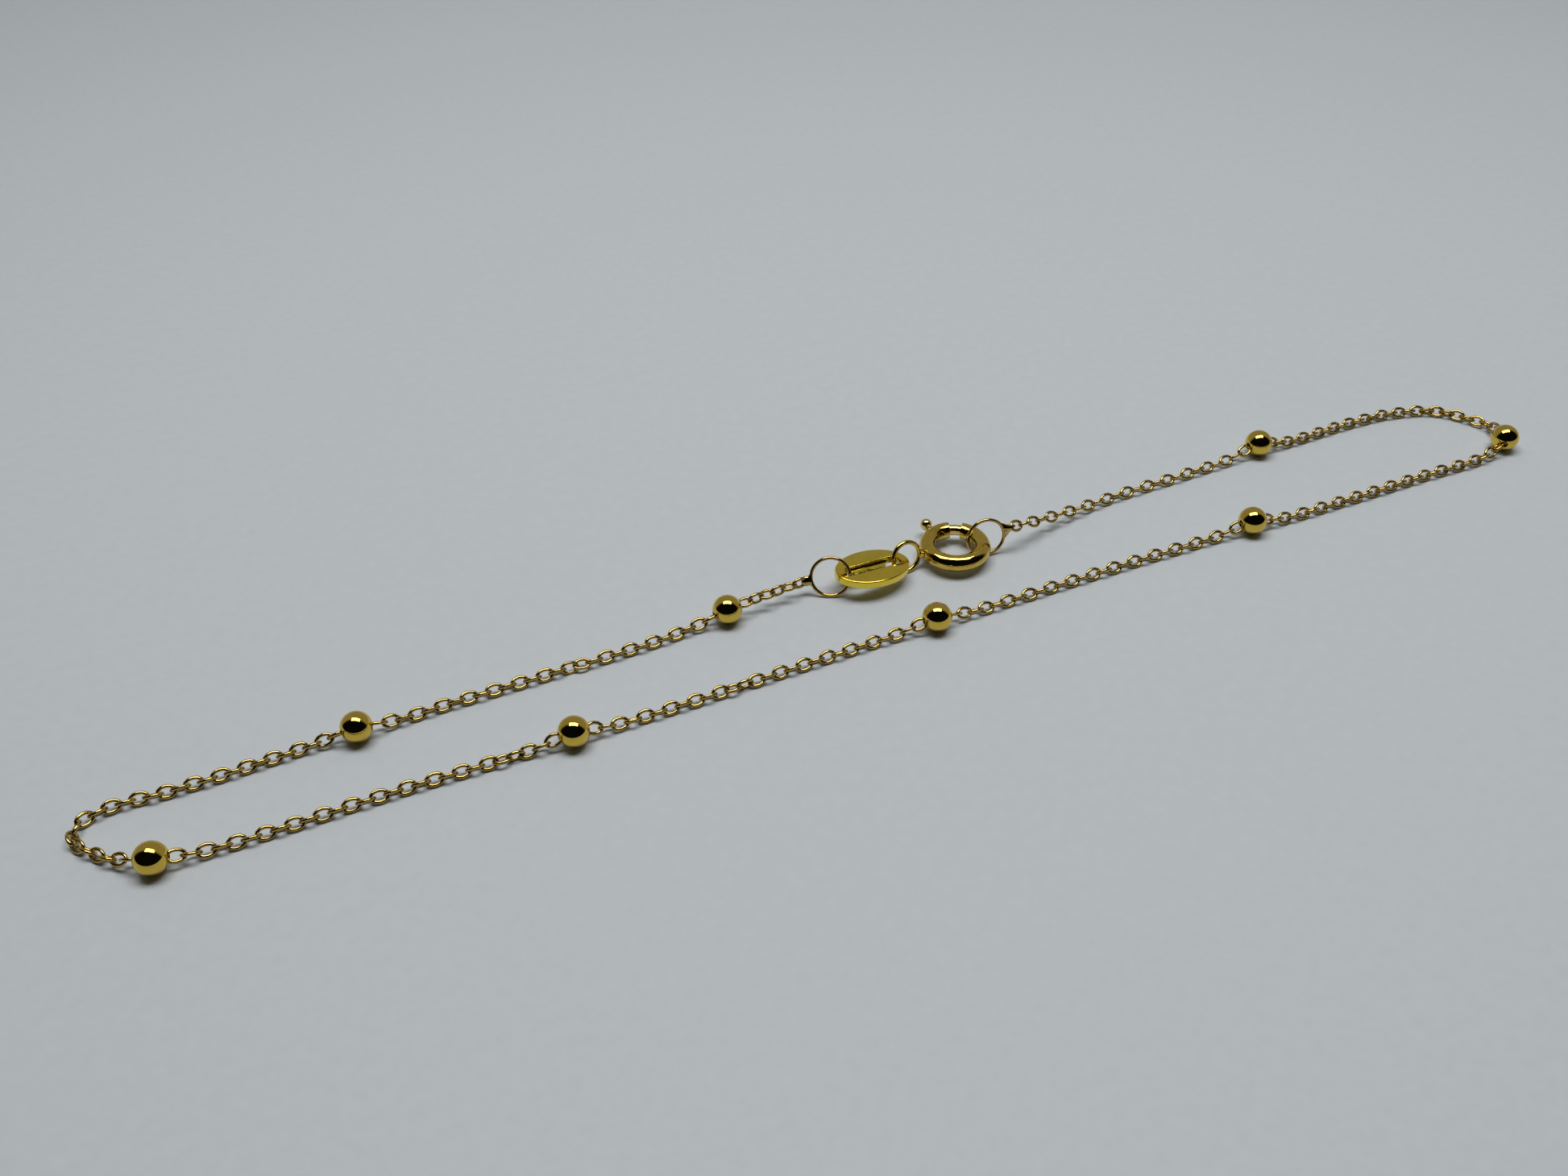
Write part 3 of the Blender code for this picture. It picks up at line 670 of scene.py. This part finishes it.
def make_clasp(layout, metal):
    """The hollow ring, open at its gap and its knob slot, with the soldered tab and eye."""
    turn = 2 * math.pi
    end = GAP_START + turn
    shell = arc_tube(
        layout.clasp_radius, CLASP_TUBE, GAP_END, end, CLASP_STEPS, CLASP_TUBE_SIDES
    )
    spare = (STEM_DIAMETER / 2 + RUNNING_FIT) / (CLASP_DIAMETER / 2)
    slot_start = KNOB_ANGLE - spare
    slot_end = KNOB_ANGLE + KNOB_TRAVEL + spare

    def in_slot(place):
        angle = math.atan2(place.y, place.x) % turn
        on_outer_side = abs(tube_angle(place, layout.clasp_radius)) < KNOB_SLOT_HALF
        return slot_start < angle < slot_end and on_outer_side

    start_editing(shell, faces=in_slot)
    bpy.ops.mesh.delete(type="FACE")
    stop_editing()
    apply_modifier(shell, "SOLIDIFY", thickness=CLASP_WALL, offset=-1.0)
    apply_modifier(
        shell, "BEVEL", width=CLASP_LIP, segments=2, limit_method="ANGLE",
        angle_limit=math.radians(50),
    )
    settle(shell, layout.clasp_matrix)

    outward = layout.join - layout.clasp
    outward.z = 0.0
    outward.normalize()
    inner = layout.clasp + (CLASP_DIAMETER / 2 - TAB_BITE / 2) * outward
    bpy.ops.mesh.primitive_cube_add(size=1.0)
    tab = bpy.context.object
    length = (layout.join - inner).length
    way = (layout.join - inner).to_track_quat("X", "Z").to_matrix().to_4x4()
    size = Matrix.Diagonal((length, TAB_WIDTH, TAB_HEIGHT, 1.0))
    settle(tab, Matrix.Translation((inner + layout.join) / 2) @ way @ size)
    apply_modifier(tab, "BEVEL", width=TAB_EDGE, segments=4)
    eye = wire_ring(EYE_DIAMETER, EYE_WIRE, EYE_SIDES, WIRE_SIDES, layout.eye_matrix)
    unite(shell, tab, eye)
    smooth(shell, 35)
    return finish_piece(shell, "clasp_shell", metal, "clasp_gold", "bracelet", "clasp_ring")


def make_bolt(layout, metal):
    """The bolt seen in the clasp's gap, with its stem and ball knob."""
    thickness = CLASP_TUBE - 2 * CLASP_WALL - 2 * RUNNING_FIT
    start = GAP_START - BOLT_LAP
    bolt = arc_tube(
        layout.clasp_radius, thickness, start, BOLT_TAIL_ANGLE, BOLT_STEPS, BOLT_SIDES
    )
    start_editing(bolt, verts=lambda place: True)
    bpy.ops.mesh.fill_holes(sides=0)
    stop_editing()
    length = KNOB_REACH - layout.clasp_radius
    outward = direction(KNOB_ANGLE)
    way = outward.to_track_quat("Z", "Y").to_matrix().to_4x4()
    bpy.ops.mesh.primitive_cylinder_add(
        vertices=STEM_SIDES, radius=STEM_DIAMETER / 2, depth=length
    )
    stem = bpy.context.object
    settle(stem, Matrix.Translation((layout.clasp_radius + length / 2) * outward) @ way)
    bpy.ops.mesh.primitive_uv_sphere_add(
        segments=KNOB_SIDES, ring_count=KNOB_RINGS, radius=KNOB_DIAMETER / 2
    )
    knob = settle(bpy.context.object, Matrix.Translation(KNOB_REACH * outward))
    unite(bolt, stem, knob)
    settle(bolt, layout.clasp_matrix)
    smooth(bolt, 40)
    return finish_piece(bolt, "spring_bolt", metal, "bolt_gold", "bolt", "clasp_bolt")


def slot_middle(share):
    """How far across the tag the slot's middle line lies at a share of its length."""
    return TAG_SLOT_WAVE * math.sin(math.pi * (share - 0.5))


def tag_slot_end(along, middle, side):
    reach = TAG_SLOT_WIDTH / 2 - TAG_SLOT_CORNER
    turns = [math.pi / 2 * k / TAG_CORNER_STEPS for k in range(1, TAG_CORNER_STEPS + 1)]
    outline = []
    for edge, corner_turns in ((side, turns), (-side, turns[::-1])):
        for turn in corner_turns:
            across = middle + edge * (reach + TAG_SLOT_CORNER * math.cos(turn))
            outline.append((along + side * TAG_SLOT_CORNER * math.sin(turn), across))
    return outline


def tag_slot_outline():
    """The slot's middle line waves from one side of the tag to the other."""
    half = TAG_SLOT_WIDTH / 2
    left = TAG_END_LEFT + TAG_SLOT_CORNER - TAG_LENGTH / 2
    right = TAG_LENGTH / 2 - TAG_END_RIGHT - TAG_SLOT_CORNER
    far_side = []
    near_side = []
    for k in range(TAG_SLOT_STEPS + 1):
        share = k / TAG_SLOT_STEPS
        along = left + (right - left) * share
        middle = slot_middle(share)
        far_side.append((along, middle + half))
        near_side.append((along, middle - half))
    right_end = tag_slot_end(right, TAG_SLOT_WAVE, 1)
    left_end = tag_slot_end(left, -TAG_SLOT_WAVE, -1)
    return far_side + right_end + near_side[::-1] + left_end


def make_plate(name, outlines, half_thickness, rounding=0.0):
    """A flat plate from its outline and holes, its edges rounded within the outline."""
    data = bpy.data.curves.new(name, "CURVE")
    data.dimensions = "2D"
    data.fill_mode = "BOTH"
    data.extrude = half_thickness - rounding
    if rounding:
        data.bevel_depth = rounding
        data.bevel_resolution = TAG_EDGE_STEPS
        data.offset = -rounding
    for outline in outlines:
        spline = data.splines.new("POLY")
        spline.points.add(len(outline) - 1)
        for point, place in zip(spline.points, outline):
            point.co = (*place, 0.0, 1.0)
        spline.use_cyclic_u = True
    curve = bpy.data.objects.new(name, data)
    bpy.context.scene.collection.objects.link(curve)
    pick(curve)
    bpy.ops.object.convert(target="MESH")
    plate = bpy.context.object
    start_editing(plate, verts=lambda place: True)
    bpy.ops.mesh.remove_doubles(threshold=WELD)
    bpy.ops.mesh.normals_make_consistent(inside=False)
    stop_editing()
    return plate


def make_tag_ledge():
    """The lower half of the slot's far wall stands out as a ledge with a wavy edge."""
    start, end = (TAG_LENGTH * share for share in LEDGE_ENDS)
    wall = []
    edge = []
    for k in range(LEDGE_STEPS + 1):
        share = k / LEDGE_STEPS
        along = start + (end - start) * share
        far_side = slot_middle(share) + TAG_SLOT_WIDTH / 2
        taper = min(1.0, LEDGE_TAPER * share, LEDGE_TAPER * (1.0 - share))
        ripple = sum(part * math.sin(pace * share + begin) for part, pace, begin in LEDGE_WAVES)
        wall.append((along, far_side + LEDGE_INTO_WALL))
        edge.append((along, far_side - LEDGE_WIDTH * taper * (1.0 + ripple)))
    half_thickness = (TAG_THICKNESS - LEDGE_DROP - LEDGE_ABOVE_UNDERSIDE) / 2
    ledge = make_plate("tag_ledge", [wall + edge[::-1]], half_thickness)
    apply_modifier(
        ledge, "BEVEL", width=LEDGE_EDGE, segments=3, limit_method="ANGLE",
        angle_limit=math.radians(50),
    )
    return settle(ledge, Matrix.Translation((0.0, 0.0, -LEDGE_DROP / 2)))


def make_tag_joins():
    """Fine cutters for the join across the left end and the one down the near rim."""
    cutters = []
    for _, length, depth, along, across, up, turn in TAG_JOINS:
        bpy.ops.mesh.primitive_cube_add(size=1.0)
        size = Matrix.Diagonal((length * MM, JOIN_WIDTH, depth * MM, 1.0))
        place = Matrix.Translation((along * MM, across * MM, up * TAG_THICKNESS / 2))
        spin = Matrix.Rotation(math.radians(turn), 4, "Z")
        cutters.append(settle(bpy.context.object, place @ spin @ size))
    return cutters


def make_tag(layout, metal):
    """The open oval tag, a flat plate whose outline is rounded at both faces."""
    angles = [2 * math.pi * k / TAG_SIDES for k in range(TAG_SIDES)]
    edge = [(TAG_LENGTH / 2 * math.cos(a), TAG_WIDTH / 2 * math.sin(a)) for a in angles]
    outlines = [edge, tag_slot_outline()]
    tag = make_plate("tag_outline", outlines, TAG_THICKNESS / 2, TAG_EDGE)
    unite(tag, make_tag_ledge())
    for cutter in make_tag_joins():
        cut(tag, cutter)
    settle(tag, layout.tag_matrix)
    smooth(tag, 40)
    apply_modifier(tag, "WEIGHTED_NORMAL", keep_sharp=True)
    return finish_piece(tag, "open_tag", metal, "tag_gold", "bracelet", "tag")


def make_fillet(length, shape):
    """Solder drawn out along +Z: half as wide as the shape's numbers from root to tip."""
    shares = [k / FILLET_STEPS for k in range(FILLET_STEPS + 1)]
    places = [k / (len(shape) - 1) for k in range(len(shape))]
    halves = [float(np.interp(share, places, shape)) for share in shares]
    thick = [min(half, FILLET_THICKNESS / 2) for half in halves]
    bpy.ops.mesh.primitive_circle_add(
        vertices=FILLET_SIDES, radius=halves[0], fill_type="NGON"
    )
    fillet = settle(bpy.context.object, Matrix.Diagonal((1.0, thick[0] / halves[0], 1.0, 1.0)))
    start_editing(fillet, verts=lambda place: True)
    bpy.ops.mesh.select_all(action="SELECT")
    for k in range(1, FILLET_STEPS + 1):
        step = (0.0, 0.0, length / FILLET_STEPS)
        bpy.ops.mesh.extrude_region_move(TRANSFORM_OT_translate={"value": step})
        size = (halves[k] / halves[k - 1], thick[k] / thick[k - 1], 1.0)
        bpy.ops.transform.resize(value=size, center_override=(0.0, 0.0, k * step[2]))
    bpy.ops.mesh.select_all(action="SELECT")
    bpy.ops.mesh.normals_make_consistent(inside=False)
    stop_editing()
    return fillet


def make_jump_ring(name, matrix, angle, length, shape, node, metal):
    """A closed wire ring with the solder that ties it to the chain's end link."""
    ring = wire_ring(JUMP_RING_DIAMETER, JUMP_RING_WIRE, JUMP_RING_SIDES, WIRE_SIDES, matrix)
    root = (JUMP_RING_DIAMETER - JUMP_RING_WIRE) / 2
    reach = JUMP_RING_DIAMETER / 2 + length + SOLDER_OVER_LINK - root
    fillet = make_fillet(reach, shape)
    way = direction(angle)
    across = Vector((0.0, 0.0, 1.0))
    columns = Matrix((across.cross(way), across, way)).transposed().to_4x4()
    settle(fillet, matrix @ Matrix.Translation(root * way) @ columns)
    unite(ring, fillet)
    smooth(ring, 60)
    return finish_piece(ring, name, metal, "ring_gold", "bracelet", node)


# Finishes


class Wire:
    """A value in a material's nodes, to be used in plain expressions."""

    def __init__(self, tree, socket):
        self.tree = tree
        self.socket = socket

    def combine(self, operation, first, second):
        made = self.tree.add("ShaderNodeMath", {"operation": operation}, {0: first, 1: second})
        return made["Value"]

    def __add__(self, other):
        return self.combine("ADD", self, other)

    def __sub__(self, other):
        return self.combine("SUBTRACT", self, other)

    def __rsub__(self, other):
        return self.combine("SUBTRACT", other, self)

    def __mul__(self, other):
        return self.combine("MULTIPLY", self, other)

    __radd__ = __add__
    __rmul__ = __mul__


class Nodes:
    """Adds nodes to a tree and feeds their sockets."""

    def __init__(self, tree):
        self.tree = tree

    def feed(self, socket, value):
        if isinstance(value, Wire):
            self.tree.links.new(value.socket, socket)
        else:
            socket.default_value = value

    def add(self, kind, settings, inputs):
        """Adds a node, sets it, feeds its sockets and gives its outputs by name."""
        node = self.tree.nodes.new(kind)
        for name, value in settings.items():
            setattr(node, name, value)
        for key, value in inputs.items():
            self.feed(node.inputs[key], value)
        return {out.name: Wire(self, out) for out in node.outputs if out.enabled}

    def place(self):
        return self.add("ShaderNodeTexCoord", {}, {})["Object"]

    def noise(self, size, detail=2.0):
        """Soft mottling about as wide as the given size."""
        inputs = {"Vector": self.place(), "Scale": 1.0 / size, "Detail": detail}
        return self.add("ShaderNodeTexNoise", {}, inputs)["Fac"]

    def blend(self, share, first, second):
        """One colour turning into another as the share goes from 0 to 1."""
        inputs = {0: share, 6: first, 7: second}
        return self.add("ShaderNodeMix", {"data_type": "RGBA"}, inputs)["Result"]


class Finish(Nodes):
    """A metal's finish, built up from nodes on its own principled shader."""

    def __init__(self, name):
        self.material = bpy.data.materials.new(name)
        self.material.use_nodes = True
        super().__init__(self.material.node_tree)
        self.shader = self.tree.nodes["Principled BSDF"]

    def shine(self, **inputs):
        for name, value in inputs.items():
            self.feed(self.shader.inputs[name.replace("_", " ")], value)


def gold(name, colour, tarnish_and_shade, roughness, wave_width, wave_height):
    """Polished gold: slow waves in the polish, worn patches, and darker mottled patches that are
    partly tarnish and partly painted shade.
    """
    finish = Finish(name)
    # Patches of the darker colour: tarnish, and painted shade on the chain and the rings.
    mottle = finish.noise(TARNISH_AND_SHADE_PATCH, 3.0)
    finish.shine(
        Base_Color=finish.blend(mottle, (*colour, 1.0), (*tarnish_and_shade, 1.0)),
        Metallic=1.0,
        Roughness=roughness + finish.noise(WORN_PATCH, 4.0) * roughness,
    )
    height = finish.noise(wave_width * MM, 2.0) * (wave_height * MM)
    inputs = {"Height": height, "Distance": 1.0, "Strength": 1.0}
    finish.shine(Normal=finish.add("ShaderNodeBump", {}, inputs)["Normal"])
    return finish.material


# The stage


def make_floor():
    """The pale table that the bracelet lies on."""
    bpy.ops.mesh.primitive_plane_add(size=TABLE_WIDTH, location=(0.0, 0.0, 0.0))
    floor = bpy.context.object
    floor.name = "table"
    finish = Finish("pale_table")
    grain = finish.noise(TABLE_GRAIN, 4.0)
    finish.shine(
        Base_Color=finish.blend(grain, TABLE_DARK, TABLE_PALE), Roughness=TABLE_ROUGHNESS
    )
    floor.data.materials.append(finish.material)


def make_lamp():
    """A long, soft ceiling lamp right above the bracelet, lying across the picture."""
    data = bpy.data.lights.new("ceiling_lamp", "AREA")
    data.shape = "RECTANGLE"
    data.size, data.size_y = LAMP_SIZE
    data.energy = LAMP_POWER
    data.color = LAMP_COLOUR
    lamp = bpy.data.objects.new("ceiling_lamp", data)
    lamp.location = LAMP_PLACE
    lamp.rotation_euler = (0.0, 0.0, CAMERA_TURN)
    bpy.context.scene.collection.objects.link(lamp)


def make_camera():
    data = bpy.data.cameras.new("photograph_view")
    data.sensor_width = SENSOR_WIDTH
    data.lens = FOCAL_PIXELS / IMAGE_WIDTH * SENSOR_WIDTH
    data.clip_start = 0.001
    camera = bpy.data.objects.new("photograph_view", data)
    turn = Matrix.Rotation(CAMERA_TURN, 4, "Z")
    pitch = Matrix.Rotation(math.pi / 2 - CAMERA_PITCH, 4, "X")
    roll = Matrix.Rotation(CAMERA_ROLL, 4, "Z")
    camera.matrix_world = Matrix.Translation(CAMERA_PLACE) @ turn @ pitch @ roll
    bpy.context.scene.collection.objects.link(camera)
    bpy.context.scene.camera = camera


def set_surroundings():
    """A dim room in front and overhead, with a pale wall behind the bracelet."""
    world = bpy.data.worlds.new("studio")
    world.use_nodes = True
    nodes = Nodes(world.node_tree)
    way = nodes.add("ShaderNodeTexCoord", {}, {})["Generated"]
    split = nodes.add("ShaderNodeSeparateXYZ", {}, {"Vector": way})
    behind = split["X"] * math.sin(-CAMERA_TURN) + split["Y"] * math.cos(CAMERA_TURN)
    rise = split["Z"]
    reach = {"Value": behind, "From Min": WALL_START, "From Max": WALL_FULL}
    wall = nodes.add("ShaderNodeMapRange", {"interpolation_type": "SMOOTHSTEP"}, reach)["Result"]
    reach = {"Value": rise, "From Min": WALL_TOP + WALL_FADE, "From Max": WALL_TOP}
    low = nodes.add("ShaderNodeMapRange", {"interpolation_type": "SMOOTHSTEP"}, reach)["Result"]
    colour = nodes.blend(wall * low, DIM_ROOM, PALE_WALL)
    nodes.feed(world.node_tree.nodes["Background"].inputs["Color"], colour)
    bpy.context.scene.world = world
    bpy.context.scene.view_settings.view_transform = "Standard"


def main():
    make_camera()
    set_surroundings()
    make_floor()
    make_lamp()

    golds = {row[0]: gold(*row) for row in GOLDS}

    layout = Layout()
    make_clasp(layout, golds["clasp_gold"])
    make_bolt(layout, golds["bolt_gold"])
    make_tag(layout, golds["tag_gold"])
    left = (layout.left_ring_matrix, LEFT_FILLET_ANGLE, LEFT_FILLET_LENGTH)
    right = (layout.right_ring_matrix, RIGHT_FILLET_ANGLE, RIGHT_FILLET_LENGTH)
    metal = golds["ring_gold"]
    make_jump_ring("wire_ring_left", *left, LEFT_FILLET_SHAPE, "jump_ring_left", metal)
    make_jump_ring("wire_ring_right", *right, RIGHT_FILLET_SHAPE, "jump_ring_right", metal)

    chain = Chain(fillet_end(*left), fillet_end(*right))
    for number, distance in enumerate(chain.beads, 1):
        heading = chain.heading(distance, TUBE_WIDTH)
        make_ball(number, chain.at(distance), heading, golds["bead_gold"])
    rng = random.Random(CHAIN_SEED)
    link = make_link()
    into = BEAD_DIAMETER / 2 - LINK_INTO_BEAD
    starts = [-LINK_ENDS_OUT] + [bead + into for bead in chain.beads]
    ends = [bead - into for bead in chain.beads] + [chain.length + LINK_ENDS_OUT]
    for number, (start, end) in enumerate(zip(starts, ends), 1):
        make_run(number, chain, link, start, end, golds["chain_gold"], rng)
    bpy.data.objects.remove(link, do_unlink=True)


main()
